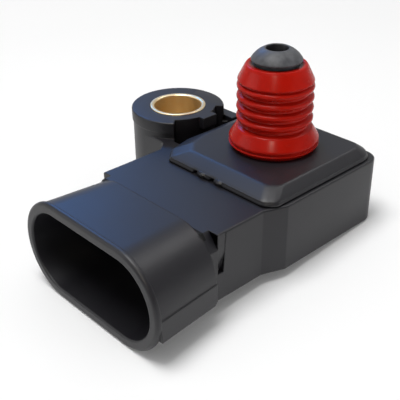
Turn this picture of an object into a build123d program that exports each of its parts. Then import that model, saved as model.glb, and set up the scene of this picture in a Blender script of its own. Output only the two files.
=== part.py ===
from build123d import *
import math
import os

os.makedirs("parts", exist_ok=True)

# A manifold absolute pressure sensor for a petrol engine.
# A black moulded housing carries an oval connector shroud at its front and a bolt ear at its side.
# A square cover with the pressure nozzle closes it, and a ribbed silicone seal sits on the nozzle.
# The frame has +Z along the nozzle, away from the housing, and the connector opens towards -Y.
# The origin is where the nozzle's axis meets the plane of the bush's mounting end.

# Heights of the main levels
body_height = 11.46
deck_drop = 2.52
cover_gap = 0.45
cover_rim_thickness = 0.25
cover_bevel_rise = 0.96
bush_proud = 0.15

# Cover, seen from above
cover_size_x = 19.84
cover_size_y = 20.23
cover_offset_x = -0.41
cover_offset_y = -0.86
cover_corner_radius = 2.5
cover_top_corner_radius = 1.5
cover_edge_radius = 0.4
cover_front_chamfer = 1.2
ear_cut_x = 2.4
ear_cut_y = 5.0
ear_cut_middle_x = 0.8
ear_cut_middle_y = 1.7
bevel_front = 2.05
bevel_right = 1.3
bevel_back = 1.6
bevel_left = 2.1
notch_width = 0.75
notch_depth = 0.9
notch_pitch = 2.95
notch_first_x = -3.1
foot_width = 1.1
foot_depth = 0.5
foot_gap = 0.25
foot_proud = 0.1

# Housing body round the cover
margin_right = 0.5
margin_back = 0.5
margin_left = 0.35
body_corner_radius = 2.2
body_edge_radius = 0.6
body_step_y = -8.4
top_edge_radius = 0.25
bottom_edge_radius = 0.25

# Neck between the body and the connector
neck_half_width = 10.2
neck_centre_x = -1.35
neck_back_y = -11.4
neck_shoulder_y = -9.3
neck_front_y = -18.6
neck_edge_radius = 0.3
plate_thickness = 1.25
plate_chamfer_x = 1.5
plate_chamfer_z = 1.95
core_width = 1.5
core_height = 2.4
core_depth = 1.7
core_skin = 0.14
recess_depth_top = 0.05
recess_depth_low = 0.6
recess_width_top = 1.25
recess_width_low = 0.85
recess_turn = 2.6
recess_height = 5.2

# Connector shroud
shroud_centre_z = -7.76
shroud_rear_half_width = 11.3
shroud_front_half_width = 12.0
shroud_rear_half_height = 5.95
shroud_front_half_height = 6.12
shroud_wall = 1.3
shroud_length = 9.35
lip_step = 0.2
lip_length = 0.65
lip_outer_radius = 0.45
mouth_edge_chamfer = 0.15
mouth_depth = 8.4
pocket_half_width = 7.6
pocket_half_height = 2.7
pocket_depth = 6.6
rail_step = 0.12
rail_base = 0.95
rail_end_cut = 0.4

# Chamber under the cover
chamber_wall_right = 2.5
chamber_wall_back = 2.4
chamber_wall_left = 2.4
chamber_wall_front = 2.2
chamber_floor = 1.5
chamber_cut_x = 0.8
chamber_cut_y = 1.6
cover_skirt_clearance = 0.15
cover_skirt_depth = 1.3
cover_skirt_wall = 1.0
adhesive_gap = 0.3
adhesive_width = 1.0

# Bolt ear and its bush
ear_x = -16.8
ear_y = -1.4
collar_radius = 6.5
collar_height = 1.6
collar_edge_radius = 0.2
boss_radius = 6.35
relief_radius = 5.3
relief_front_angle = 46.5
relief_back_angle = 42.0
relief_depth = 7.3
relief_front_wall = 1.2
web_flare = 1.2
web_fillet = 1.0
ledge_drop = 1.76
ledge_width = 1.6
tab_radius = 6.15
tab_front = 0.75
tab_back = 1.6
bush_radius = 3.9
bush_bore_radius = 3.3
bush_lip = 0.2
bush_groove_depth = 0.35
bush_groove_width = 2.4

# Pressure nozzle on the cover
nozzle_radius = 2.95
nozzle_neck_radius = 2.6
nozzle_head_radius = 3.18
nozzle_head_z = 10.6
nozzle_head_flat = 0.2
nozzle_head_bulge = 0.25
nozzle_top_radius = 1.4
nozzle_top_z = 11.87
port_radius = 1.15
inner_tube_radius = 2.0
inner_tube_length = 2.2

# Ribbed seal on the nozzle
seal_base_radius = 5.78
seal_base_undercut = 0.35
seal_base_rise = 0.5
seal_lip_z = -0.08
seal_lip_groove_radius = 5.6
seal_lip_groove_width = 0.3
seal_skirt_radius = 5.72
seal_skirt_edge = 0.3
seal_skirt_top_radius = 4.85
seal_skirt_top_z = 1.86
rib_radius = 4.8
rib_pitch = 1.37
rib_first_z = 3.08
rib_count = 4
rib_land = 0.36
rib_flank = 0.24
groove_radius = 4.2
crown_radius = 4.76
crown_low_z = 7.92
crown_edge = 0.12
crown_shoulder_radius = 3.98
crown_shoulder_z = 9.6
crown_top_radius = 3.75
crown_top_z = 9.95

# Terminals
terminal_count = 3
terminal_pitch = 4.8
terminal_width = 1.5
terminal_thickness = 0.8
terminal_tip_recess = 5.2
terminal_tip_chamfer = 0.25
terminal_inner_length = 2.4
pin_pitch = 4.0
pin_width = 0.75
pin_length = 0.8
pin_rise = 0.55

# Board and what stands on it
board_clearance = 0.15
board_thickness = 0.8
board_margin = 0.6
board_hole_clearance = 0.12
post_size = 1.7
post_clearance = 0.4
solder_base_radius = 0.85
solder_top_radius = 0.62
solder_height = 0.4
cell_size = 6.0
cell_height = 2.75
cell_well_radius = 2.2
gasket_radius = 2.7
pedestal_size = 2.6
pedestal_height = 1.0
die_size = 2.2
die_height = 0.4
gel_cover = 0.2
chip_size_x = 1.6
chip_size_y = 4.2
chip_height = 1.2
capacitor_length = 1.6
capacitor_width = 0.9
capacitor_height = 0.85
resistor_length = 1.5
resistor_width = 0.8
resistor_height = 0.5
small_part_gap = 0.8
small_part_margin = 0.4

# The largest share of a wall that a rounded or cut edge takes
edge_share = 0.4

# Levels that follow from the heights
underside_z = -body_height
deck_z = -deck_drop
rim_low_z = deck_z + cover_gap
rim_top_z = rim_low_z + cover_rim_thickness
plateau_z = rim_top_z + cover_bevel_rise
collar_top_z = -bush_proud
collar_low_z = collar_top_z - collar_height
ledge_z = -ledge_drop

# Edges of the cover, the body and the chamber
cover_left = cover_offset_x - cover_size_x / 2
cover_right = cover_offset_x + cover_size_x / 2
cover_front = cover_offset_y - cover_size_y / 2
cover_back = cover_offset_y + cover_size_y / 2
body_left = cover_left - margin_left
body_right = cover_right + margin_right
body_back = cover_back + margin_back
neck_left = neck_centre_x - neck_half_width
neck_right = neck_centre_x + neck_half_width
chamber_left = body_left + chamber_wall_left
chamber_right = body_right - chamber_wall_right
chamber_back = body_back - chamber_wall_back
chamber_front_y = cover_front + chamber_wall_front
chamber_floor_z = underside_z + chamber_floor

# Planes of the connector along Y
plate_front_y = neck_front_y - plate_thickness
mouth_y = plate_front_y - shroud_length
lip_back_y = mouth_y + lip_length
mouth_floor_y = mouth_y + mouth_depth
pocket_floor_y = mouth_floor_y + pocket_depth

# Levels of the terminals and the board
terminal_low_z = shroud_centre_z - terminal_thickness / 2
terminal_top_z = shroud_centre_z + terminal_thickness / 2
board_low_z = terminal_top_z + board_clearance
board_top_z = board_low_z + board_thickness
cell_top_z = board_top_z + cell_height
pin_back_y = chamber_front_y + terminal_inner_length
pin_front_y = pin_back_y - pin_length
pin_y = (pin_front_y + pin_back_y) / 2
board_left = chamber_left + board_margin
board_right = chamber_right - board_margin
board_back = chamber_back - board_margin
terminal_first_x = neck_centre_x - terminal_pitch * (terminal_count - 1) / 2
terminal_x = [terminal_first_x + index * terminal_pitch for index in range(terminal_count)]
pin_first_x = (board_left + board_right) / 2 - pin_pitch * (terminal_count - 1) / 2
pin_x = [pin_first_x + index * pin_pitch for index in range(terminal_count)]


def slab(x_low, x_high, y_low, y_high, z_low, z_high):
    """A box between six planes."""
    centre = ((x_low + x_high) / 2, (y_low + y_high) / 2, (z_low + z_high) / 2)
    return Pos(*centre) * Box(x_high - x_low, y_high - y_low, z_high - z_low)


def disc(x, y, radius, z_low, z_high):
    """An upright cylinder between two levels."""
    return Pos(x, y, (z_low + z_high) / 2) * Cylinder(radius, z_high - z_low)


def plan_face(points, radii, z):
    """A flat outline at one level, with a radius for each corner."""
    raised = [(x, y, z) for x, y in points]
    return make_face(FilletPolyline(*raised, radius=radii, close=True))


def plan_prism(points, radii, z_low, z_high):
    """An upright prism of an outline between two levels."""
    return extrude(plan_face(points, radii, z_low), amount=z_high - z_low, dir=(0, 0, 1))


def turned(profile):
    """A body of revolution about the Z axis, from radius and height pairs."""
    points = [(radius, 0, z) for radius, z in profile]
    return revolve(make_face(Polyline(*points, close=True)), Axis.Z)


def oval(y, half_width, half_height):
    """The connector's oval section at one place along Y."""
    plane = Plane(origin=(neck_centre_x, y, shroud_centre_z), x_dir=(1, 0, 0), z_dir=(0, -1, 0))
    return plane * SlotOverall(2 * half_width, 2 * half_height)


def cover_points(front_inset, right_inset, back_inset, left_inset):
    """The cover's corners, moved in from each side, with the corner beside the ear cut away."""
    left = cover_left + left_inset
    right = cover_right - right_inset
    front = cover_front + front_inset
    back = cover_back - back_inset
    return [
        (left + ear_cut_x, front),
        (right - cover_front_chamfer, front),
        (right, front + cover_front_chamfer),
        (right, back),
        (left, back),
        (left, front + ear_cut_y),
        (left + ear_cut_middle_x, front + ear_cut_middle_y),
    ]


def cover_radii(corner_radius):
    """A radius for each of the cover's corners."""
    edge = cover_edge_radius
    return [edge, edge, edge, corner_radius, corner_radius, edge, edge]


def chamber_points():
    """The corners of the chamber that holds the board."""
    return [
        (chamber_left + chamber_cut_x, chamber_front_y),
        (chamber_right, chamber_front_y),
        (chamber_right, chamber_back),
        (chamber_left, chamber_back),
        (chamber_left, chamber_front_y + chamber_cut_y),
    ]


def inset_prism(points, inset, z_low, z_high):
    """A prism of a sharp outline that is moved in evenly on every side."""
    face = offset(plan_face(points, 0, z_low), amount=-inset, kind=Kind.INTERSECTION)
    return extrude(face, amount=z_high - z_low, dir=(0, 0, 1))


def bush_body(bore):
    """The brass tube's form about the ear's axis, with or without its bore."""
    middle = underside_z / 2
    low = middle - bush_groove_width / 2
    high = middle + bush_groove_width / 2
    waist = bush_radius - bush_groove_depth
    outside = [
        (bush_radius, underside_z),
        (bush_radius, low),
        (waist, low),
        (waist, high),
        (bush_radius, high),
        (bush_radius, 0),
    ]
    inside = [(0, 0), (0, underside_z)]
    if bore:
        inside = [
            (bush_bore_radius + bush_lip, 0),
            (bush_bore_radius, -bush_lip),
            (bush_bore_radius, underside_z + bush_lip),
            (bush_bore_radius + bush_lip, underside_z),
        ]
    return Pos(ear_x, ear_y, 0) * turned(outside + inside)


def terminal(blade_x, post_x):
    """A flat blade that turns aside behind the wall and then up through the board as a pin."""
    half = terminal_width / 2
    tip_y = mouth_y + terminal_tip_recess
    blade = slab(blade_x - half, blade_x + half, tip_y, pin_back_y, terminal_low_z, terminal_top_z)
    tip_edges = blade.faces().sort_by(Axis.Y)[0].edges()
    blade = chamfer(tip_edges, min(terminal_tip_chamfer, terminal_thickness * edge_share))
    left = post_x - pin_width / 2
    right = post_x + pin_width / 2
    arm_left = min(blade_x - half, left)
    arm_right = max(blade_x + half, right)
    arm = slab(arm_left, arm_right, pin_front_y, pin_back_y, terminal_low_z, terminal_top_z)
    pin = slab(left, right, pin_front_y, pin_back_y, terminal_top_z, board_top_z + pin_rise)
    return blade + arm + pin


def body_and_neck():
    """The square body, the narrower neck to the connector and the web to the ear.

    The edges at the end plate and inside the ear's boss stay sharp.
    """
    web_front = ear_y - boss_radius
    web_back = ear_y + boss_radius
    corners = [
        (neck_left, neck_front_y, 0),
        (neck_right, neck_front_y, 0),
        (neck_right, neck_back_y, body_edge_radius),
        (body_right, body_step_y, body_edge_radius),
        (body_right, body_back, body_corner_radius),
        (body_left, body_back, body_corner_radius),
        (body_left, web_back, 0),
        (ear_x, web_back, 0),
        (ear_x, web_front, 0),
        (neck_left - web_flare, web_front, web_fillet),
        (neck_left, neck_shoulder_y, neck_edge_radius),
    ]
    points = [(x, y) for x, y, radius in corners]
    radii = [radius for x, y, radius in corners]
    solid = plan_prism(points, radii, underside_z, deck_z)
    for order, edge_radius in ((-1, top_edge_radius), (0, bottom_edge_radius)):
        edges = solid.faces().sort_by(Axis.Z)[order].edges()
        shown = [edge for edge in edges if edge.center().Y > neck_front_y and edge.center().X > ear_x]
        solid = fillet(shown, edge_radius)
    return solid


def end_plate():
    """The plate at the neck's front, its upper corners cut off, that backs the shroud."""
    corners = [
        (neck_left, underside_z),
        (neck_right, underside_z),
        (neck_right, deck_z - plate_chamfer_z),
        (neck_right - plate_chamfer_x, deck_z),
        (neck_left + plate_chamfer_x, deck_z),
        (neck_left, deck_z - plate_chamfer_z),
    ]
    outline = Polyline(*[(x, neck_front_y, z) for x, z in corners], close=True)
    return extrude(make_face(outline), amount=plate_thickness, dir=(0, -1, 0))


def core():
    """The pocket in the neck's front face that shows behind the plate's cut corner."""
    right = neck_right - core_skin
    top = deck_z - core_skin
    return slab(right - core_width, right, neck_front_y, neck_front_y + core_depth, top - core_height, top)


def recess():
    """The shallow tapering cut in the neck's right side, beside the end plate."""
    low_z = deck_z - recess_height
    side = [
        (neck_front_y, deck_z),
        (neck_front_y + recess_width_top, deck_z),
        (neck_front_y + recess_width_low, low_z),
        (neck_front_y, low_z),
    ]
    along = extrude(
        make_face(Polyline(*[(neck_right, y, z) for y, z in side], close=True)),
        amount=recess_depth_low,
        dir=(1, 0, 0),
        both=True,
    )
    depth = [
        (neck_right - recess_depth_top, deck_z),
        (neck_right - recess_depth_top, deck_z - recess_turn),
        (neck_right - recess_depth_low, low_z),
        (neck_right + recess_depth_low, low_z),
        (neck_right + recess_depth_low, deck_z),
    ]
    across = extrude(
        make_face(Polyline(*[(x, neck_front_y, z) for x, z in depth], close=True)),
        amount=recess_width_top,
        dir=(0, 1, 0),
    )
    return along & across


def rail(side):
    """The square lower corner of the shroud, level with the housing's underside."""
    rear = neck_centre_x + side * (shroud_rear_half_width + rail_step)
    front = neck_centre_x + side * (shroud_front_half_width + rail_step)
    inner = neck_centre_x + side * (shroud_rear_half_width - shroud_rear_half_height)
    low_z = underside_z + rail_base
    points = [(inner, plate_front_y), (inner, lip_back_y), (front, lip_back_y), (rear, plate_front_y)]
    solid = plan_prism(points, 0, low_z, shroud_centre_z)
    corner = [
        (plate_front_y, low_z),
        (plate_front_y, low_z + rail_end_cut),
        (plate_front_y - rail_end_cut, low_z),
    ]
    cut_face = make_face(Polyline(*[(inner, y, z) for y, z in corner], close=True))
    return solid - extrude(cut_face, amount=abs(front - inner), dir=(side, 0, 0))


def shroud():
    """The outside of the connector with the rounded lip round its mouth."""
    rear = oval(plate_front_y, shroud_rear_half_width, shroud_rear_half_height)
    front = oval(lip_back_y, shroud_front_half_width, shroud_front_half_height)
    lip_face = oval(lip_back_y, shroud_front_half_width + lip_step, shroud_front_half_height + lip_step)
    lip = extrude(lip_face, amount=lip_length, dir=(0, -1, 0))
    lip = fillet(lip.faces().sort_by(Axis.Y)[0].edges(), min(lip_outer_radius, lip_length - lip_step))
    return loft([rear, front], ruled=True) + lip + rail(1) + rail(-1)


def connector_space():
    """The flared mouth, its broken edge, and the narrower pocket round the terminals."""
    mouth_width = shroud_front_half_width + lip_step - shroud_wall
    mouth_height = shroud_front_half_height + lip_step - shroud_wall
    floor_width = shroud_rear_half_width - shroud_wall
    floor_height = shroud_rear_half_height - shroud_wall
    floor_face = oval(mouth_floor_y, floor_width, floor_height)
    mouth = loft([oval(mouth_y, mouth_width, mouth_height), floor_face], ruled=True)
    edge_face = oval(mouth_y, mouth_width + mouth_edge_chamfer, mouth_height + mouth_edge_chamfer)
    edge = loft([edge_face, oval(mouth_y + mouth_edge_chamfer, mouth_width, mouth_height)], ruled=True)
    pocket_face = oval(mouth_floor_y, pocket_half_width, pocket_half_height)
    return mouth + edge + extrude(pocket_face, amount=pocket_depth, dir=(0, 1, 0))


def relief():
    """The deep gap between the ear and the cover."""
    reach = collar_radius + web_flare
    front_y = ear_y - reach * math.tan(math.radians(relief_front_angle))
    back_y = ear_y + reach * math.tan(math.radians(relief_back_angle))
    floor_z = collar_top_z - relief_depth
    wedge_points = [(ear_x, ear_y), (ear_x + reach, front_y), (ear_x + reach, back_y)]
    wedge = plan_prism(wedge_points, 0, floor_z, 0)
    front_limit = ear_y - boss_radius + relief_front_wall
    back_limit = ear_y + boss_radius - ledge_width
    wedge = wedge & slab(ear_x, ear_x + reach, front_limit, back_limit, floor_z, 0)
    return wedge - disc(ear_x, ear_y, relief_radius, floor_z, 0)


def ear():
    """The round bolt boss with its collar, its tab and the ledge behind the cover's corner."""
    back = ear_y + boss_radius
    ledge = slab(ear_x, body_left, back - ledge_width, back, deck_z - top_edge_radius, ledge_z)
    boss = disc(ear_x, ear_y, boss_radius, underside_z, collar_low_z)
    boss = fillet(boss.faces().sort_by(Axis.Z)[0].edges(), bottom_edge_radius)
    collar = disc(ear_x, ear_y, collar_radius, collar_low_z, collar_top_z)
    collar = fillet(collar.faces().sort_by(Axis.Z)[-1].edges(), collar_edge_radius)
    tab_front_y = ear_y - tab_front
    tab_back_y = ear_y + tab_back
    tab = slab(ear_x, ear_x + tab_radius, tab_front_y, tab_back_y, collar_low_z, collar_top_z)
    return ledge + boss + collar, tab


def housing():
    """The black moulded housing in one piece."""
    boss, tab = ear()
    solid = body_and_neck() + boss - relief() + tab
    solid = solid - core() - recess() + end_plate() + shroud()
    solid -= connector_space()
    chamber = plan_prism(chamber_points(), 0, chamber_floor_z, rim_top_z)
    for x_low in (chamber_left, chamber_right - post_size):
        for y_low in (pin_back_y + post_clearance, chamber_back - post_size):
            chamber -= slab(x_low, x_low + post_size, y_low, y_low + post_size, chamber_floor_z, board_low_z)
    solid -= chamber
    for x in terminal_x:
        half = terminal_width / 2
        solid -= slab(x - half, x + half, pocket_floor_y, pin_back_y, terminal_low_z, terminal_top_z)
    return solid - bush_body(False)


def port_cover():
    """The cover with its bevelled rim, the pressure nozzle and the inner tube."""
    rim = plan_prism(cover_points(0, 0, 0, 0), cover_radii(cover_corner_radius), rim_low_z, rim_top_z)
    foot = plan_face(cover_points(0, 0, 0, 0), cover_radii(cover_corner_radius), rim_top_z)
    top_points = cover_points(bevel_front, bevel_right, bevel_back, bevel_left)
    top = plan_face(top_points, cover_radii(cover_top_corner_radius), plateau_z)
    solid = rim + loft([foot, top], ruled=True)
    skirt_low_z = rim_low_z - cover_skirt_depth
    skirt = inset_prism(chamber_points(), cover_skirt_clearance, skirt_low_z, rim_low_z)
    skirt -= inset_prism(chamber_points(), cover_skirt_clearance + cover_skirt_wall, skirt_low_z, rim_low_z)
    solid += skirt
    solid += disc(0, 0, inner_tube_radius, rim_low_z - inner_tube_length, rim_low_z)
    for x in (notch_first_x, notch_first_x + notch_pitch):
        half = notch_width / 2
        solid -= slab(x - half, x + half, cover_front, cover_front + notch_depth, rim_low_z, rim_top_z)
        foot_x = x + half + foot_gap
        foot_y = cover_front - foot_proud
        solid += slab(foot_x, foot_x + foot_width, foot_y, foot_y + foot_depth, deck_z, rim_top_z)
    solid += nozzle()
    return solid - disc(0, 0, port_radius, rim_low_z - inner_tube_length, nozzle_top_z)


def nozzle():
    """The nozzle's outside: a plain seat for the seal, a neck and a domed head."""
    dome_low = (nozzle_head_radius, 0, nozzle_head_z + nozzle_head_flat)
    dome_top = (nozzle_top_radius, 0, nozzle_top_z)
    bulge = nozzle_head_bulge / math.sqrt(2)
    middle_radius = (nozzle_head_radius + nozzle_top_radius) / 2 + bulge
    middle_z = (nozzle_head_z + nozzle_head_flat + nozzle_top_z) / 2 + bulge
    dome = ThreePointArc(dome_low, (middle_radius, 0, middle_z), dome_top)
    rest = Polyline(
        dome_top,
        (0, 0, nozzle_top_z),
        (0, 0, rim_top_z),
        (nozzle_radius, 0, rim_top_z),
        (nozzle_radius, 0, crown_top_z),
        (nozzle_neck_radius, 0, crown_top_z),
        (nozzle_neck_radius, 0, nozzle_head_z),
        (nozzle_head_radius, 0, nozzle_head_z),
        dome_low,
    )
    return revolve(make_face(dome + rest), Axis.Z)


def port_seal():
    """The red silicone seal: a flared skirt, ribs and a tapered crown."""
    profile = [
        (nozzle_radius, plateau_z),
        (seal_base_radius - seal_base_undercut, plateau_z),
        (seal_base_radius, plateau_z + seal_base_rise),
        (seal_base_radius, seal_lip_z),
        (seal_lip_groove_radius, seal_lip_z),
        (seal_lip_groove_radius, seal_lip_z + seal_lip_groove_width),
        (seal_skirt_radius, seal_lip_z + seal_lip_groove_width),
        (seal_skirt_radius, seal_lip_z + seal_lip_groove_width + seal_skirt_edge),
        (seal_skirt_top_radius, seal_skirt_top_z),
        (groove_radius, seal_skirt_top_z + rib_flank),
    ]
    for index in range(rib_count):
        middle = rib_first_z + index * rib_pitch
        profile.append((groove_radius, middle - rib_land / 2 - rib_flank))
        profile.append((rib_radius, middle - rib_land / 2))
        profile.append((rib_radius, middle + rib_land / 2))
        profile.append((groove_radius, middle + rib_land / 2 + rib_flank))
    profile.append((crown_radius, crown_low_z))
    profile.append((crown_radius, crown_low_z + crown_edge))
    profile.append((crown_shoulder_radius, crown_shoulder_z))
    profile.append((crown_top_radius, crown_top_z))
    profile.append((nozzle_radius, crown_top_z))
    return turned(profile)


def cover_adhesive():
    """The bead of adhesive that seals the cover to the deck."""
    bead = inset_prism(chamber_points(), -adhesive_gap - adhesive_width, deck_z, rim_low_z)
    return bead - inset_prism(chamber_points(), -adhesive_gap, deck_z, rim_low_z)


def circuit_board():
    """The ceramic board, with a hole for each terminal's pin."""
    board = inset_prism(chamber_points(), board_margin, board_low_z, board_top_z)
    gap = board_hole_clearance
    for x in pin_x:
        low = x - pin_width / 2 - gap
        high = x + pin_width / 2 + gap
        board -= slab(low, high, pin_front_y - gap, pin_back_y + gap, board_low_z, board_top_z)
    return board


def solder_joint(x):
    """The solder cone round one pin, on top of the board."""
    cone = Cone(solder_base_radius, solder_top_radius, solder_height)
    cone = Pos(x, pin_y, board_top_z + solder_height / 2) * cone
    top_z = board_top_z + solder_height
    return cone - slab(x - pin_width / 2, x + pin_width / 2, pin_front_y, pin_back_y, board_top_z, top_z)


def on_board(x, y, size_x, size_y, height):
    """A small block that stands on the board."""
    top_z = board_top_z + height
    return slab(x - size_x / 2, x + size_x / 2, y - size_y / 2, y + size_y / 2, board_top_z, top_z)


def cell_carrier():
    """The square frame round the sensing element, with a round well."""
    frame = on_board(0, 0, cell_size, cell_size, cell_height)
    return frame - disc(0, 0, cell_well_radius, board_top_z, cell_top_z)


def cell_gasket():
    """The ring that seals the inner tube to the carrier."""
    ring = disc(0, 0, gasket_radius, cell_top_z, rim_low_z)
    return ring - disc(0, 0, inner_tube_radius, cell_top_z, rim_low_z)


def glass_pedestal():
    """The glass block under the silicon element."""
    return on_board(0, 0, pedestal_size, pedestal_size, pedestal_height)


def pressure_die():
    """The silicon element that bends with the pressure."""
    low = board_top_z + pedestal_height
    half = die_size / 2
    return slab(-half, half, -half, half, low, low + die_height)


def gel_fill():
    """The soft gel that fills the well over the element."""
    top_z = board_top_z + pedestal_height + die_height + gel_cover
    gel = disc(0, 0, cell_well_radius, board_top_z, top_z)
    return gel - glass_pedestal() - pressure_die()


def small_parts():
    """The amplifier chip, three capacitors and a resistor near the board's edges."""
    right_x = board_right - small_part_margin - chip_size_x / 2
    left_x = board_left + small_part_margin + capacitor_length / 2
    back_y = board_back - small_part_margin - resistor_width / 2
    row = capacitor_width + small_part_gap
    capacitor = (capacitor_length, capacitor_width, capacitor_height)
    return {
        "signal_chip": on_board(right_x, 0, chip_size_x, chip_size_y, chip_height),
        "capacitor_supply": on_board(left_x, -row, *capacitor),
        "capacitor_signal": on_board(left_x, 0, *capacitor),
        "capacitor_filter": on_board(left_x, row, *capacitor),
        "resistor_load": on_board(0, back_y, resistor_length, resistor_width, resistor_height),
    }


pieces = {
    "housing": housing(),
    "port_cover": port_cover(),
    "port_seal": port_seal(),
    "mounting_bush": bush_body(True),
    "cover_adhesive": cover_adhesive(),
    "circuit_board": circuit_board(),
    "cell_carrier": cell_carrier(),
    "cell_gasket": cell_gasket(),
    "glass_pedestal": glass_pedestal(),
    "pressure_die": pressure_die(),
    "gel_fill": gel_fill(),
}
pieces.update(small_parts())
for name, blade_x, post_x in zip(("supply", "signal", "ground"), terminal_x, pin_x):
    pieces["terminal_" + name] = terminal(blade_x, post_x)
    pieces["solder_" + name] = solder_joint(post_x)

for name, piece in pieces.items():
    export_step(piece, "parts/" + name + ".step")
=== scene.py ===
import math
import bmesh
import bpy
from mathutils import Matrix, Vector


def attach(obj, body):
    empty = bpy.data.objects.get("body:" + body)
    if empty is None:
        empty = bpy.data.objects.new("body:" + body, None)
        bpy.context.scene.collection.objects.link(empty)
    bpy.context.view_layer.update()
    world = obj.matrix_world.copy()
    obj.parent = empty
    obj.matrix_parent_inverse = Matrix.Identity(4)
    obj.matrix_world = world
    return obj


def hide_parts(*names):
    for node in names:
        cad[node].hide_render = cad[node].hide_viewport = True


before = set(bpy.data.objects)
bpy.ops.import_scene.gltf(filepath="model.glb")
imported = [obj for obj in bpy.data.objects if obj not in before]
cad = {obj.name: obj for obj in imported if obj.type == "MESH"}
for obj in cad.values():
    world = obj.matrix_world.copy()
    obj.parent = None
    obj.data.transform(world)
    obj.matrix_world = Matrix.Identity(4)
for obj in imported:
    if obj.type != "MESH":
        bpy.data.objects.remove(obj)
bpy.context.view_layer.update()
mm = 0.001
print("frame loaded")


def linear(hexColour, alpha=1.0):
    # an sRGB hex value to the linear colour that the shaders take
    parts = [int(hexColour[i:i + 2], 16) / 255 for i in (1, 3, 5)]
    return [p / 12.92 if p <= 0.04045 else ((p + 0.055) / 1.055) ** 2.4 for p in parts] + [alpha]


def addNode(tree, kind, settings=None, links=None):
    # adds a node, sets its properties and sockets, and links the sockets that are fed
    node = tree.nodes.new(kind)
    for name, value in (settings or {}).items():
        if isinstance(name, str) and name in node.bl_rna.properties:
            setattr(node, name, value)
        else:
            node.inputs[name].default_value = value
    for name, source in (links or {}).items():
        tree.links.new(source, node.inputs[name])
    return node


# The camera stands where the photograph was taken from, in the frame's own millimetres.
camera = {
    "azimuth": 47.03,
    "elevation": 30.12,
    "roll": -0.62,
    "distance": 89.1,
    "target": (0.763, -13.685, -3.46),
    "focalPixels": 749.3,
    "frameWidth": 400,
    "sensorWidth": 36.0,
}


def towards(azimuth, elevation):
    # azimuth 0 looks from the connector's side, 90 from the right
    azimuth, elevation = math.radians(azimuth), math.radians(elevation)
    flat = math.cos(elevation)
    return Vector((math.sin(azimuth) * flat, -math.cos(azimuth) * flat, math.sin(elevation)))


def makeCamera():
    back = towards(camera["azimuth"], camera["elevation"])
    level = Vector((-back.y, back.x, 0)).normalized()
    upright = back.cross(level)
    roll = math.radians(camera["roll"])
    right = math.cos(roll) * level + math.sin(roll) * upright
    up = -math.sin(roll) * level + math.cos(roll) * upright
    data = bpy.data.cameras.new("camera")
    data.sensor_width = camera["sensorWidth"]
    data.lens = camera["focalPixels"] * camera["sensorWidth"] / camera["frameWidth"]
    data.clip_start = mm
    viewer = bpy.data.objects.new("camera", data)
    bpy.context.scene.collection.objects.link(viewer)
    place = (Vector(camera["target"]) + back * camera["distance"]) * mm
    turn = Matrix((right, up, back)).transposed().to_4x4()
    viewer.matrix_world = Matrix.Translation(place) @ turn
    bpy.context.scene.camera = viewer


makeCamera()
print("camera placed")


def surface(name):
    # a material with its output, its principled shader and the object's own coordinates
    material = bpy.data.materials.new(name)
    material.use_nodes = True
    tree = material.node_tree
    tree.nodes.clear()
    shader = addNode(tree, "ShaderNodeBsdfPrincipled")
    addNode(tree, "ShaderNodeOutputMaterial", links={"Surface": shader.outputs["BSDF"]})
    place = addNode(tree, "ShaderNodeTexCoord").outputs["Object"]
    return material, tree, shader, place


def perSize(size):
    # the pattern scale that gives features of a size in millimetres
    return 1 / (size * mm)


def clouded(tree, place, size, detail, first, second):
    # soft clouds of a size in millimetres, and two colours that run into each other by them
    cloud = addNode(tree, "ShaderNodeTexNoise", {"Scale": perSize(size), "Detail": detail}, {"Vector": place})
    colour = addNode(
        tree,
        "ShaderNodeMix",
        {"data_type": "RGBA", 6: linear(first), 7: linear(second)},
        {0: cloud.outputs["Fac"]},
    )
    return cloud.outputs["Fac"], colour.outputs[2]


housingPlastic = {
    "colour": "#141318",
    "flowColour": "#1a191e",
    "roughness": (0.38, 0.48),
    "grainSize": 0.22,      # the mould's spark eroded grain is about 0.05 mm, drawn coarser so that it shows
    "grainDepth": 0.006,
    "flowSize": 5.0,
    "edgeRadius": 0.2,      # the mould's own corners, broken by wear
    "edgeSamples": 6,
    "ior": 1.48,
}

# the nozzle's tip takes the same plastic, paler and duller
paleTipPlastic = dict(
    housingPlastic,
    colour="#242528",
    flowColour="#5e5f63",
    roughness=(0.44, 0.58),
    flowSize=0.7,
)

# the narrow joint where the mould's shroud insert met the body, across the top just behind the shroud: the
# shade in its groove, which is not modelled, is painted as a near black, dull line
jointShade = {
    "y": -19.65, "halfWidth": 0.22, "core": 0.6,
    "lowest": -3.2,
    "colour": "#020202",
    "roughness": 1.0,
}


def besideJointShade(tree, place):
    # 0 in the joint's painted shade and 1 away from it
    middle, half, lowest = (jointShade[key] * mm for key in ("y", "halfWidth", "lowest"))
    axes = addNode(tree, "ShaderNodeSeparateXYZ", links={"Vector": place})
    away = addNode(tree, "ShaderNodeMath", {"operation": "SUBTRACT", 1: middle}, {0: axes.outputs["Y"]})
    gap = addNode(tree, "ShaderNodeMath", {"operation": "ABSOLUTE"}, {0: away.outputs[0]})
    clear = addNode(
        tree,
        "ShaderNodeMapRange",
        {"From Min": jointShade["core"] * half, "From Max": half},
        {"Value": gap.outputs[0]},
    )
    below = addNode(tree, "ShaderNodeMath", {"operation": "LESS_THAN", 1: lowest}, {0: axes.outputs["Z"]})
    return addNode(
        tree, "ShaderNodeMath", {"operation": "MAXIMUM"}, {0: clear.outputs["Result"], 1: below.outputs[0]}
    ).outputs[0]


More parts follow.
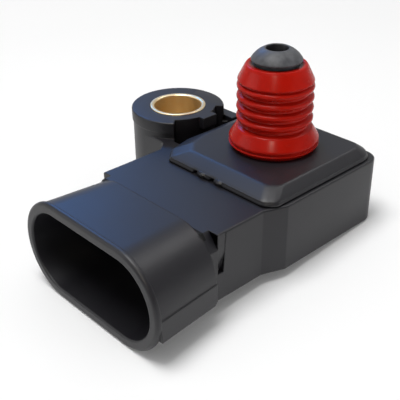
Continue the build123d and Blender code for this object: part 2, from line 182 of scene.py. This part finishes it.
def mouldedPolyester(name, values, withJointShade=False):
    # PBT with glass fibre, moulded in a spark eroded tool: a fine satin grain and soft, broken highlights
    material, tree, shader, place = surface(name)
    flow, colour = clouded(tree, place, values["flowSize"], 3.0, values["colour"], values["flowColour"])
    low, high = values["roughness"]
    rough = addNode(tree, "ShaderNodeMapRange", {"To Min": low, "To Max": high}, {"Value": flow}).outputs[0]
    if withJointShade:
        # painted shade: the joint's groove is drawn as near black, fully rough colour, not as geometry
        clear = besideJointShade(tree, place)
        dark, dull = linear(jointShade["colour"]), jointShade["roughness"]
        colour = addNode(tree, "ShaderNodeMix", {"data_type": "RGBA", 6: dark}, {0: clear, 7: colour})
        colour = colour.outputs[2]
        rough = addNode(tree, "ShaderNodeMix", {2: dull}, {0: clear, 3: rough}).outputs[0]
    scale = perSize(values["grainSize"])
    grain = addNode(tree, "ShaderNodeTexNoise", {"Scale": scale, "Detail": 2.0}, {"Vector": place})
    edge = addNode(
        tree, "ShaderNodeBevel", {"samples": values["edgeSamples"], "Radius": values["edgeRadius"] * mm}
    )
    bump = addNode(
        tree,
        "ShaderNodeBump",
        {"Distance": values["grainDepth"] * mm, "Strength": 1.0},
        {"Height": grain.outputs["Fac"], "Normal": edge.outputs["Normal"]},
    )
    tree.links.new(colour, shader.inputs["Base Color"])
    tree.links.new(rough, shader.inputs["Roughness"])
    tree.links.new(bump.outputs["Normal"], shader.inputs["Normal"])
    shader.inputs["IOR"].default_value = values["ior"]
    return material


sealSilicone = {
    "colour": "#b9190c",
    "deepColour": "#9c1207",
    "roughness": (0.20, 0.32),
    "cloudSize": 1.6,
    "skinSize": 0.18,       # the skin's orange peel, about 0.1 mm on the real seal, drawn a little coarser
    "skinDepth": 0.0015,
    "subsurface": 0.12,
    "scatter": (1.0, 0.12, 0.06),
    "scatterDepth": 0.5,
    "ior": 1.41,
    "oiliness": 0.16,
}


def mouldedSilicone():
    # silicone rubber, compression moulded: deep colour, a slightly oily skin, light that sinks in at the ribs
    material, tree, shader, place = surface("moulded silicone rubber")
    values = sealSilicone
    cloud, colour = clouded(tree, place, values["cloudSize"], 4.0, values["colour"], values["deepColour"])
    low, high = values["roughness"]
    rough = addNode(tree, "ShaderNodeMapRange", {"To Min": low, "To Max": high}, {"Value": cloud})
    scale, depth = perSize(values["skinSize"]), values["skinDepth"] * mm
    skin = addNode(tree, "ShaderNodeTexNoise", {"Scale": scale, "Detail": 2.0}, {"Vector": place})
    bump = addNode(tree, "ShaderNodeBump", {"Distance": depth}, {"Height": skin.outputs["Fac"]})
    tree.links.new(colour, shader.inputs["Base Color"])
    tree.links.new(rough.outputs["Result"], shader.inputs["Roughness"])
    tree.links.new(bump.outputs["Normal"], shader.inputs["Normal"])
    shader.inputs["Subsurface Weight"].default_value = values["subsurface"]
    shader.inputs["Subsurface Radius"].default_value = values["scatter"]
    shader.inputs["Subsurface Scale"].default_value = values["scatterDepth"] * mm
    shader.inputs["IOR"].default_value = values["ior"]
    shader.inputs["Specular IOR Level"].default_value = values["oiliness"]
    return material


bushBrass = {
    "colour": "#f5d69c",
    "wornColour": "#fcebc8",
    "roughness": (0.30, 0.42),
    "turningPitch": 0.16,   # the tool leaves a mark each 0.08 mm, drawn twice as wide so that it shows
    "turningDepth": 0.003,
    "chatter": 0.4,
    "stainSize": 1.2,
}


def turnedBrass():
    # free cutting brass, turned on a lathe: fine rings round the bore and a warm, stretched shine
    material, tree, shader, place = surface("turned brass")
    values = bushBrass
    stain, colour = clouded(tree, place, values["stainSize"], 3.0, values["colour"], values["wornColour"])
    low, high = values["roughness"]
    rough = addNode(tree, "ShaderNodeMapRange", {"To Min": low, "To Max": high}, {"Value": stain})
    scale, depth = perSize(values["turningPitch"]) / (2 * math.pi), values["turningDepth"] * mm
    rings = addNode(
        tree,
        "ShaderNodeTexWave",
        {"bands_direction": "Z", "Scale": scale, "Distortion": values["chatter"]},
        {"Vector": place},
    )
    bump = addNode(tree, "ShaderNodeBump", {"Distance": depth}, {"Height": rings.outputs["Fac"]})
    tree.links.new(colour, shader.inputs["Base Color"])
    tree.links.new(rough.outputs["Result"], shader.inputs["Roughness"])
    tree.links.new(bump.outputs["Normal"], shader.inputs["Normal"])
    shader.inputs["Metallic"].default_value = 1.0
    return material


# the finishes inside and in the connector:
# colour, second colour, roughness, metallic, size of the clouds and depth of the bump in millimetres
plainFinishes = {
    "tinned copper alloy": ("#8d8c88", "#a3a29d", 0.34, 1.0, 0.8, 0.003),     # dipped tin: soft grey shine
    "tin solder": ("#b9b8b4", "#cfcecb", 0.22, 1.0, 0.5, 0.004),              # flowed solder: bright, rippled
    "fired alumina board": ("#d9d6cc", "#e6e3da", 0.55, 0.0, 0.6, 0.004),     # fired ceramic: matt, off white
    "moulded grey PPS": ("#5a5c5e", "#66686a", 0.5, 0.0, 0.4, 0.004),         # filled plastic: dull, even
    "moulded nitrile rubber": ("#1a1a1a", "#232323", 0.7, 0.0, 0.3, 0.006),   # rubber: dark, nearly no shine
    "cured epoxy adhesive": ("#202022", "#2b2b2e", 0.35, 0.0, 1.5, 0.02),     # set from a bead: smooth, wavy
    "etched silicon": ("#6a6e78", "#7a7f8a", 0.12, 0.7, 0.9, 0.001),          # polished crystal: mirror grey
    "moulded black epoxy": ("#19191a", "#242425", 0.6, 0.0, 0.15, 0.005),     # chip body: sandy black
    "fired barium titanate": ("#9a7a58", "#ab8a66", 0.5, 0.0, 0.2, 0.003),    # capacitor body: tan ceramic
}


def plainFinish(name):
    first, second, roughness, metallic, size, depth = plainFinishes[name]
    material, tree, shader, place = surface(name)
    cloud, colour = clouded(tree, place, size, 3.0, first, second)
    bump = addNode(tree, "ShaderNodeBump", {"Distance": depth * mm}, {"Height": cloud})
    tree.links.new(colour, shader.inputs["Base Color"])
    tree.links.new(bump.outputs["Normal"], shader.inputs["Normal"])
    shader.inputs["Roughness"].default_value = roughness
    shader.inputs["Metallic"].default_value = metallic
    return material


# the two clear finishes: colour, roughness, IOR, and the size and depth of their waves in millimetres
clearFinishes = {
    "cut borosilicate glass": ("#dfe8e4", 0.08, 1.47, 1.0, 0.003),    # polished glass: clear, faintly green
    "poured silicone gel": ("#f2f2ee", 0.05, 1.41, 1.0, 0.003),       # soft gel: clear and wet looking
}


def clearFinish(name):
    colour, roughness, ior, size, depth = clearFinishes[name]
    material, tree, shader, place = surface(name)
    wave = addNode(tree, "ShaderNodeTexNoise", {"Scale": perSize(size), "Detail": 1.0}, {"Vector": place})
    bump = addNode(tree, "ShaderNodeBump", {"Distance": depth * mm}, {"Height": wave.outputs["Fac"]})
    tree.links.new(bump.outputs["Normal"], shader.inputs["Normal"])
    shader.inputs["Base Color"].default_value = linear(colour)
    shader.inputs["Roughness"].default_value = roughness
    shader.inputs["IOR"].default_value = ior
    shader.inputs["Transmission Weight"].default_value = 1.0
    return material


plastic = mouldedPolyester("moulded glass filled PBT", housingPlastic)
jointShadedPlastic = mouldedPolyester("moulded glass filled PBT with painted joint shade", housingPlastic, withJointShade=True)
paleTip = mouldedPolyester("pale tip glass filled PBT", paleTipPlastic)
silicone = mouldedSilicone()
brass = turnedBrass()
finishes = {name: plainFinish(name) for name in plainFinishes}
finishes.update({name: clearFinish(name) for name in clearFinishes})
print("materials made")

# which finish each CAD node that stays takes
nodeFinishes = {
    # the housing carries the painted shade of the mould joint
    "housing": jointShadedPlastic,
    "cover_adhesive": finishes["cured epoxy adhesive"],
    "circuit_board": finishes["fired alumina board"],
    "cell_carrier": finishes["moulded grey PPS"],
    "cell_gasket": finishes["moulded nitrile rubber"],
    "glass_pedestal": finishes["cut borosilicate glass"],
    "pressure_die": finishes["etched silicon"],
    "gel_fill": finishes["poured silicone gel"],
    "signal_chip": finishes["moulded black epoxy"],
    "resistor_load": finishes["moulded black epoxy"],
    "capacitor_supply": finishes["fired barium titanate"],
    "capacitor_signal": finishes["fired barium titanate"],
    "capacitor_filter": finishes["fired barium titanate"],
}
for pin in ("supply", "signal", "ground"):
    nodeFinishes["terminal_" + pin] = finishes["tinned copper alloy"]
    nodeFinishes["solder_" + pin] = finishes["tin solder"]

shading = {
    "sharpAngle": math.radians(32),
    "weld": 0.002,          # for the CAD nodes' split points
    "join": 0.0005,         # for the points of the pieces made here
}


def dress(name, material):
    # a CAD node keeps its mesh, and its curved faces are shaded smooth up to the sharp edges
    node = cad[name]
    node.data.materials.clear()
    node.data.materials.append(material)
    for face in node.data.polygons:
        face.use_smooth = True
    weld = node.modifiers.new("weld", "WELD")
    weld.merge_threshold = shading["weld"] * mm
    split = node.modifiers.new("split", "EDGE_SPLIT")
    split.split_angle = shading["sharpAngle"]


for name, material in nodeFinishes.items():
    dress(name, material)
print("CAD nodes dressed")


def rounded(corners, steps):
    # each corner of a closed outline, given as two coordinates and a radius, becomes an arc of as many points
    points = []
    for index, (u, v, radius) in enumerate(corners):
        here = Vector((u, v))
        before = Vector(corners[index - 1][:2]) - here
        after = Vector(corners[(index + 1) % len(corners)][:2]) - here
        half = before.angle(after) / 2
        if radius <= 0 or half > math.radians(89.5):
            points += [here] * (steps + 1 if radius > 0 else 1)
            continue
        reach = min(radius / math.tan(half), 0.48 * before.length, 0.48 * after.length)
        before.normalize()
        after.normalize()
        middle = here + (before + after).normalized() * (reach / math.cos(half))
        first = here + before * reach - middle
        last = here + after * reach - middle
        sweep = first.angle(last)
        for step in range(steps + 1):
            share = step / steps
            arm = first * math.sin((1 - share) * sweep) + last * math.sin(share * sweep)
            points.append(middle + arm / math.sin(sweep))
    return points


def closedShell(mesh, rings):
    # quads between each ring of points and the next, and from the last ring back to the first
    made = [[mesh.verts.new(Vector(point) * mm) for point in ring] for ring in rings]
    count = len(made[0])
    for index, ring in enumerate(made):
        following = made[(index + 1) % len(made)]
        for k in range(count):
            mesh.faces.new((ring[k], ring[(k + 1) % count], following[(k + 1) % count], following[k]))


def turnedShell(mesh, corners, steps, segments, centre=(0, 0)):
    # the profile's corners are radius, height and rounding
    rings = []
    for radius, z in rounded(corners, steps):
        ring = []
        for k in range(segments):
            angle = 2 * math.pi * k / segments
            ring.append((centre[0] + radius * math.cos(angle), centre[1] + radius * math.sin(angle), z))
        rings.append(ring)
    closedShell(mesh, rings)


def addPiece(name, mesh, material, node):
    bmesh.ops.remove_doubles(mesh, verts=mesh.verts[:], dist=shading["join"] * mm)
    bmesh.ops.recalc_face_normals(mesh, faces=mesh.faces[:])
    for face in mesh.faces:
        face.smooth = True
    data = bpy.data.meshes.new(name)
    mesh.to_mesh(data)
    mesh.free()
    data.materials.append(material)
    piece = bpy.data.objects.new(name, data)
    bpy.context.scene.collection.objects.link(piece)
    weighted = piece.modifiers.new("weighted", "WEIGHTED_NORMAL")
    weighted.keep_sharp = False
    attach(piece, "root")
    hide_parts(node)
    return piece


cover = {
    "left": -10.33, "right": 9.51, "front": -10.975, "back": 9.255,
    "rimLow": -2.4, "rimTop": -1.82, "plateau": -0.86,
    "bevelFront": 2.05, "bevelRight": 1.3, "bevelBack": 1.6, "bevelLeft": 2.1,
    "frontCorner": 1.2,
    "earCut": (2.4, 5.0),
    "earCutMiddle": (0.8, 1.7),
    "edgeRadius": 0.4, "frontCornerRadius": 1.3, "cornerRadius": 2.5, "topCornerRadius": 1.5,
    "cornerSteps": 8,
    "rimLean": 0.17, "rimBelow": 0.1,
    "leanMiddle": 0.4,      # how much of the lean the band has half way up
    "softEdge": 0.05,       # the small steps that round the band's and the plate's edges
    # the bevel's profile: how far in and how far up each ring lies, as shares of the whole bevel
    "bevelSteps": ((0.03, -0.03), (0.08, 0.06), (0.14, 0.13), (0.5, 0.5)),
    "plateauRounding": 0.3,
    # the rounding into the plateau: how far past the bevel's end and how far below the plateau
    "roundingSteps": ((-0.5, 0.5), (-0.22, 0.27), (0.05, 0.09), (0.3, 0.01), (0.5, 0.0), (0.7, 0.0)),
    "bandInset": 1.3,
    "notches": (-3.1, -0.15), "notchWidth": 0.75, "notchDepth": 0.9,
    "notchSpread": 0.1,     # keeps the points of an uncut ring apart
    "footGap": 0.25, "footWidth": 1.1, "footDepth": 0.5, "footProud": 0.1, "footLow": -2.52,
    "footRounding": 0.08,
    "skirtLow": -3.37, "skirtWall": 1.0, "skirtCutShare": 0.6,
    "chamber": (-8.13, 7.36, -8.625, 7.205),
    "chamberCut": (0.95, 1.75),
    "seatRadius": 2.95,
}


def coverCorners(front, right, back, left, cornerRadius):
    # the cover's outline, moved in from each side, with the corner beside the ear cut away
    x0, x1 = cover["left"] + left, cover["right"] - right
    y0, y1 = cover["front"] + front, cover["back"] - back
    small = cover["edgeRadius"]
    return [
        (x0 + cover["earCut"][0], y0, small),
        (x1 - cover["frontCorner"], y0, cover["frontCornerRadius"]),
        (x1, y0 + cover["frontCorner"], cover["frontCornerRadius"]),
        (x1, y1, cornerRadius),
        (x0, y1, cornerRadius),
        (x0, y0 + cover["earCut"][1], small),
        (x0 + cover["earCutMiddle"][0], y0 + cover["earCutMiddle"][1], small),
    ]


def coverOutline(inset, cornerRadius):
    return rounded(coverCorners(inset, inset, inset, inset, cornerRadius), cover["cornerSteps"])


def atLevel(points, z):
    return [(x, y, z) for x, y in points]


def notched(points, inset, depth):
    # the band's front edge runs from the first corner to the second, and the notches are let into it
    steps = cover["cornerSteps"]
    y = cover["front"] + inset
    spread = cover["notchSpread"] if depth == 0 else 0.0
    cut = []
    for x in cover["notches"]:
        x0, x1 = x - cover["notchWidth"] / 2, x + cover["notchWidth"] / 2
        cut += [(x0 - spread, y), (x0 + spread, y + depth), (x1 - spread, y + depth), (x1 + spread, y)]
    return points[:steps + 1] + [Vector(corner) for corner in cut] + points[steps + 1:]


def makeCoverPlate():
    # a moulded plate: bevelled rim, level plateau, two notches with their feet, and the skirt in the chamber
    mesh = bmesh.new()
    rimLow, rimTop, plateau = cover["rimLow"], cover["rimTop"], cover["plateau"]
    lean = cover["rimLean"]
    bandTop = rimTop - cover["rimBelow"]
    radius = cover["cornerRadius"]
    foot = coverOutline(lean, radius)
    top = rounded(
        coverCorners(
            cover["bevelFront"],
            cover["bevelRight"],
            cover["bevelBack"],
            cover["bevelLeft"],
            cover["topCornerRadius"],
        ),
        cover["cornerSteps"],
    )
    inner = coverOutline(cover["bandInset"], radius - cover["bandInset"])
    seat = [point.normalized() * cover["seatRadius"] for point in top]

    def between(share, rise):
        # a ring on the bevel, by its share of the way from the foot to the top
        level = rimTop + (plateau - rimTop) * rise
        return [(a.x + (b.x - a.x) * share, a.y + (b.y - a.y) * share, level) for a, b in zip(foot, top)]

    soft, step = cover["plateauRounding"], cover["softEdge"]
    underside = [
        atLevel(seat, rimLow),
        atLevel(inner, rimLow),
        atLevel(inner, bandTop - 2 * step),
        atLevel(coverOutline(lean + 1.6 * step, radius), bandTop - 2 * step),
        atLevel(foot, bandTop - step),
        atLevel(foot, bandTop),
    ]
    bevel = [between(share, rise) for share, rise in cover["bevelSteps"]]
    bevel += [between(1 + past * soft, 1 - below * soft) for past, below in cover["roundingSteps"]]
    level = [atLevel([point * 1.2 for point in seat], plateau), atLevel(seat, plateau)]
    closedShell(mesh, underside + bevel + level)

    def bandRing(inset, level):
        # the band's side leans out towards its foot, and the notches go to one depth at every level
        return atLevel(notched(coverOutline(inset, radius), inset, cover["notchDepth"] - inset), level)

    bandInner = notched(inner, cover["bandInset"], 0)
    closedShell(mesh, [
        atLevel(bandInner, rimLow),
        bandRing(step, rimLow),
        bandRing(0, rimLow + step),
        bandRing(cover["leanMiddle"] * lean, (rimLow + bandTop) / 2),
        bandRing(lean, bandTop),
        bandRing(lean + step, bandTop + step),
        atLevel(bandInner, bandTop + step),
    ])
    for x in cover["notches"]:
        x0 = x + cover["notchWidth"] / 2 + cover["footGap"]
        y0 = cover["front"] - cover["footProud"]
        x1, y1 = x0 + cover["footWidth"], y0 + cover["footDepth"]
        block = bmesh.ops.create_cube(mesh, size=1.0)["verts"]
        size = Vector((x1 - x0, y1 - y0, bandTop - cover["footLow"])) * mm
        middle = Vector(((x0 + x1) / 2, (y0 + y1) / 2, (bandTop + cover["footLow"]) / 2)) * mm
        for vert in block:
            vert.co = Vector((vert.co.x * size.x, vert.co.y * size.y, vert.co.z * size.z)) + middle
        edges = list({line for vert in block for line in vert.link_edges})
        bmesh.ops.bevel(mesh, geom=edges, offset=cover["footRounding"] * mm, segments=2, affect="EDGES")
    x0, x1, y0, y1 = cover["chamber"]
    cutX, cutY = cover["chamberCut"]
    share = cover["skirtCutShare"]
    outside, inside = (
        [
            (x0 + cutX + inset * share, y0 + inset),
            (x1 - inset, y0 + inset),
            (x1 - inset, y1 - inset),
            (x0 + inset, y1 - inset),
            (x0 + inset, y0 + cutY + inset * share),
        ]
        for inset in (0, cover["skirtWall"])
    )
    closedShell(mesh, [
        atLevel(outside, cover["skirtLow"]),
        atLevel(outside, rimLow),
        atLevel(inside, rimLow),
        atLevel(inside, cover["skirtLow"]),
    ])
    return addPiece("coverPlate", mesh, plastic, "port_cover")


nozzle = {
    "bore": 1.15,
    "tubeRadius": 2.0, "tubeLow": -4.27,
    "seatRadius": 2.95, "seatTop": 9.95,
    "neckRadius": 2.6,
    "headRadius": 3.18, "headLow": 10.42, "headFlat": 0.12,
    "topRadius": 1.62, "top": 11.87, "bulge": 0.17,
    "domeSteps": (0.12, 0.25, 0.38, 0.5, 0.62, 0.75, 0.88),
    "mouthRadius": 1.42, "mouthDepth": 1.7,
    "steps": 4, "segments": 96,
}


def makeNozzle():
    # the nozzle and the tube under it, in one with the cover, with a domed head that has a softly broken bore
    mesh = bmesh.new()
    head, flat = nozzle["headLow"], nozzle["headFlat"]
    crownRadius, crownTop = nozzle["topRadius"], nozzle["top"]
    corners = [
        (nozzle["bore"], nozzle["tubeLow"], 0.1),
        (nozzle["tubeRadius"], nozzle["tubeLow"], 0.15),
        (nozzle["tubeRadius"], cover["rimLow"], 0),
        (nozzle["seatRadius"], cover["rimLow"], 0),
        (nozzle["seatRadius"], nozzle["seatTop"], 0.05),
        (nozzle["neckRadius"], nozzle["seatTop"], 0.05),
        (nozzle["neckRadius"], head, 0.08),
        (nozzle["headRadius"], head, 0.1),
        (nozzle["headRadius"], head + flat, 0),
    ]
    run = Vector((crownRadius - nozzle["headRadius"], crownTop - head - flat))
    side = Vector((run.y, -run.x)).normalized()
    for share in nozzle["domeSteps"]:
        out = nozzle["bulge"] * 4 * share * (1 - share)
        corners.append((
            nozzle["headRadius"] + run.x * share + side.x * out,
            head + flat + run.y * share + side.y * out,
            0,
        ))
    corners.append((crownRadius, crownTop, 0.1))
    corners.append((nozzle["mouthRadius"], crownTop, 0.08))
    corners.append((nozzle["bore"], crownTop - nozzle["mouthDepth"], 0.1))
    turnedShell(mesh, corners, nozzle["steps"], nozzle["segments"])
    piece = addPiece("nozzle", mesh, paleTip, "port_cover")
    piece.data.materials.append(plastic)
    for face in piece.data.polygons:
        # the bore's wall keeps the housing's darker plastic
        if face.center.xy.length < (nozzle["mouthRadius"] - 0.01) * mm:
            face.material_index = 1
    return piece


seal = {
    "inner": 2.95,
    "baseRadius": 5.74, "undercut": 0.6, "baseRise": 0.6,
    "lipLevel": -0.08, "lipGroove": 5.58, "lipGrooveWidth": 0.25,
    "skirtRadius": 5.72, "skirtEdge": 0.3, "skirtTopRadius": 4.85, "skirtTop": 1.86,
    "ribRadius": 4.84, "grooveRadius": 4.25, "ribPitch": 1.37, "ribFirst": 3.08, "ribs": 4,
    "ribLand": 0.5, "ribFlank": 0.3, "ribRounding": 0.42, "grooveRounding": 0.1,
    "crownRadius": 4.76, "crownLow": 7.92, "crownEdge": 0.12,
    "shoulderRadius": 3.98, "shoulder": 9.6, "topRadius": 3.75, "top": 9.95,
    "steps": 4, "segments": 120,
}


def makeSeal():
    # the ribbed seal: flared skirt with a thin lip, soft ribs and a crown that tapers to the nozzle's neck
    mesh = bmesh.new()
    base = cover["plateau"]
    lip, grooveTop = seal["lipLevel"], seal["lipLevel"] + seal["lipGrooveWidth"]
    groove, flank, land = seal["grooveRadius"], seal["ribFlank"], seal["ribLand"] / 2
    corners = [
        (seal["inner"], base, 0),
        (seal["baseRadius"] - seal["undercut"], base, 0.1),
        (seal["baseRadius"], base + seal["baseRise"], 0.06),
        (seal["baseRadius"], lip, 0.06),
        (seal["lipGroove"], lip, 0.05),
        (seal["lipGroove"], grooveTop, 0.05),
        (seal["skirtRadius"], grooveTop, 0.08),
        (seal["skirtRadius"], grooveTop + seal["skirtEdge"], 0.5),
        (seal["skirtTopRadius"], seal["skirtTop"], seal["ribRounding"]),
        (groove, seal["skirtTop"] + flank, seal["grooveRounding"]),
    ]
    for index in range(seal["ribs"]):
        middle = seal["ribFirst"] + index * seal["ribPitch"]
        corners += [
            (groove, middle - land - flank, seal["grooveRounding"]),
            (seal["ribRadius"], middle - land, seal["ribRounding"]),
            (seal["ribRadius"], middle + land, seal["ribRounding"]),
            (groove, middle + land + flank, seal["grooveRounding"]),
        ]
    corners += [
        (seal["crownRadius"], seal["crownLow"], 0.1),
        (seal["crownRadius"], seal["crownLow"] + seal["crownEdge"], 0.4),
        (seal["shoulderRadius"], seal["shoulder"], 0.4),
        (seal["topRadius"], seal["top"], 0.15),
        (seal["inner"], seal["top"], 0),
    ]
    turnedShell(mesh, corners, seal["steps"], seal["segments"])
    return addPiece("portSeal", mesh, silicone, "port_seal")


bush = {
    "centre": (-16.8, -1.4),
    "low": -11.46,
    "radius": 3.9, "bore": 3.3,
    "outerRounding": 0.12, "innerRounding": 0.28,
    "grooveDepth": 0.35, "grooveWidth": 2.4,
    "steps": 6, "segments": 96,
}


def makeBush():
    # the turned sleeve in the ear, with rolled lips at both ends and a groove that the plastic holds
    mesh = bmesh.new()
    low, radius, bore = bush["low"], bush["radius"], bush["bore"]
    middle, half = low / 2, bush["grooveWidth"] / 2
    waist = radius - bush["grooveDepth"]
    outer, inner = bush["outerRounding"], bush["innerRounding"]
    corners = [
        (bore, low, inner),
        (radius, low, outer),
        (radius, middle - half, 0),
        (waist, middle - half, 0),
        (waist, middle + half, 0),
        (radius, middle + half, 0),
        (radius, 0, outer),
        (bore, 0, inner),
    ]
    turnedShell(mesh, corners, bush["steps"], bush["segments"], bush["centre"])
    return addPiece("mountingBush", mesh, brass, "mounting_bush")


makeCoverPlate()
makeNozzle()
makeSeal()
makeBush()
print("pieces made")

# the floor touches the connector's lip and the body's back edge, at these y and z
floor = {
    "lipBottom": (-28.9, -14.07),
    "bodyBack": (9.76, -11.46),
    "width": 6000.0,
    "colour": "#f4f4f4",
    "roughness": 0.9,
    "glow": 0.07, "farGlow": 0.5,
    "nearRange": 90, "farRange": 500,
}


def makeFloor():
    # the sensor lies on two edges at different heights, so the floor is tilted to touch both
    y0, z0 = floor["lipBottom"]
    y1, z1 = floor["bodyBack"]
    slope = math.atan2(z1 - z0, y1 - y0)
    bpy.ops.mesh.primitive_plane_add(size=floor["width"] * mm)
    sheet = bpy.context.active_object
    sheet.name = "floor"
    middle = Vector((0, (y0 + y1) / 2, (z0 + z1) / 2)) * mm
    sheet.matrix_world = Matrix.Translation(middle) @ Matrix.Rotation(slope, 4, "X")
    # matt white paper, with a little glow, only to the eye and to reflections, that keeps it white
    # where the lamps fade
    material, tree, shader, place = surface("matt white paper")
    shader.inputs["Base Color"].default_value = linear(floor["colour"])
    shader.inputs["Roughness"].default_value = floor["roughness"]
    shader.inputs["Specular IOR Level"].default_value = 0.0
    path = addNode(tree, "ShaderNodeLightPath")
    seen = addNode(
        tree,
        "ShaderNodeMath",
        {"operation": "MAXIMUM"},
        {0: path.outputs["Is Camera Ray"], 1: path.outputs["Is Glossy Ray"]},
    )
    clear = addNode(
        tree,
        "ShaderNodeMath",
        {"operation": "MAXIMUM"},
        {0: seen.outputs[0], 1: path.outputs["Is Transmission Ray"]},
    )
    reach = addNode(tree, "ShaderNodeVectorMath", {"operation": "LENGTH"}, {0: place})
    glow = addNode(
        tree,
        "ShaderNodeMapRange",
        {
            "From Min": floor["nearRange"] * mm,
            "From Max": floor["farRange"] * mm,
            "To Min": floor["glow"],
            "To Max": floor["farGlow"],
        },
        {"Value": reach.outputs["Value"]},
    )
    strength = addNode(
        tree, "ShaderNodeMath", {"operation": "MULTIPLY"}, {0: clear.outputs[0], 1: glow.outputs["Result"]}
    )
    shader.inputs["Emission Color"].default_value = linear("#ffffff")
    tree.links.new(strength.outputs[0], shader.inputs["Emission Strength"])
    sheet.data.materials.append(material)


makeFloor()
print("floor laid")

# each lamp's direction from the part, its distance and size in millimetres, how bright its face looks,
# and whether it lights matt colour, shows as gloss, or both
lamps = {
    "overhead softbox": {
        "azimuth": 340, "elevation": 76, "distance": 320, "size": (150, 150),
        "level": 10.8, "colour": "#ffffff",
        "matt": True, "gloss": True,
    },
    "back softbox": {
        "azimuth": 172, "elevation": 54, "distance": 380, "size": (160, 110),
        "level": 4.5, "colour": "#ffffff",
        "matt": False, "gloss": True,
    },
    "left card": {
        "azimuth": 322, "elevation": 20, "distance": 400, "size": (280, 140),
        "level": 1.6, "colour": "#ffffff",
        "matt": False, "gloss": True,
    },
    "window": {
        "azimuth": 250, "elevation": 36, "distance": 400, "size": (120, 84),
        "level": 13.5, "colour": "#429aff",
        "matt": False, "gloss": True,
    },
    "right fill": {
        "azimuth": 105, "elevation": 12, "distance": 380, "size": (220, 180),
        "level": 2.6, "colour": "#ffffff",
        "matt": True, "gloss": False,
    },
    "front strip": {
        "azimuth": 37, "elevation": 42, "distance": 350, "size": (12, 40),
        "level": 160.0, "colour": "#fff4e0",
        "matt": False, "gloss": True,
    },
}
aimPoint = (0, -8, -5)


def addLamp(name, lamp):
    data = bpy.data.lights.new(name, "AREA")
    data.shape = "RECTANGLE"
    data.size, data.size_y = (side * mm for side in lamp["size"])
    data.energy = lamp["level"] * math.pi * data.size * data.size_y
    data.color = linear(lamp["colour"])[:3]
    body = bpy.data.objects.new(name, data)
    bpy.context.scene.collection.objects.link(body)
    outward = towards(lamp["azimuth"], lamp["elevation"])
    place = (Vector(aimPoint) + outward * lamp["distance"]) * mm
    body.matrix_world = Matrix.Translation(place) @ outward.to_track_quat("Z", "Y").to_matrix().to_4x4()
    body.visible_diffuse = lamp["matt"]
    body.visible_glossy = lamp["gloss"]


for name, lamp in lamps.items():
    addLamp(name, lamp)

# the studio's walls are pale, but the side that the photographer stands on is dark
studio = {
    "colour": "#ffffff", "level": 0.45,
    "darkLevel": 0.05,
    "darkAzimuth": 70, "darkElevation": 3,
    "darkCore": 0.86, "darkEdge": 0.3,
}


def makeStudio():
    world = bpy.data.worlds.new("studio")
    bpy.context.scene.world = world
    world.use_nodes = True
    tree = world.node_tree
    tree.nodes.clear()
    outward = addNode(tree, "ShaderNodeTexCoord").outputs["Generated"]
    facing = addNode(
        tree,
        "ShaderNodeVectorMath",
        {"operation": "DOT_PRODUCT", 1: towards(studio["darkAzimuth"], studio["darkElevation"])},
        {0: outward},
    )
    share = addNode(
        tree,
        "ShaderNodeMapRange",
        {
            "interpolation_type": "SMOOTHSTEP",
            "From Min": studio["darkEdge"],
            "From Max": studio["darkCore"],
            "To Min": studio["level"],
            "To Max": studio["darkLevel"],
        },
        {"Value": facing.outputs["Value"]},
    )
    white = linear(studio["colour"])
    air = addNode(tree, "ShaderNodeBackground", {"Color": white}, {"Strength": share.outputs["Result"]})
    addNode(tree, "ShaderNodeOutputWorld", links={"Surface": air.outputs[0]})


makeStudio()
bpy.context.scene.view_settings.view_transform = "Standard"
print("lamps set")
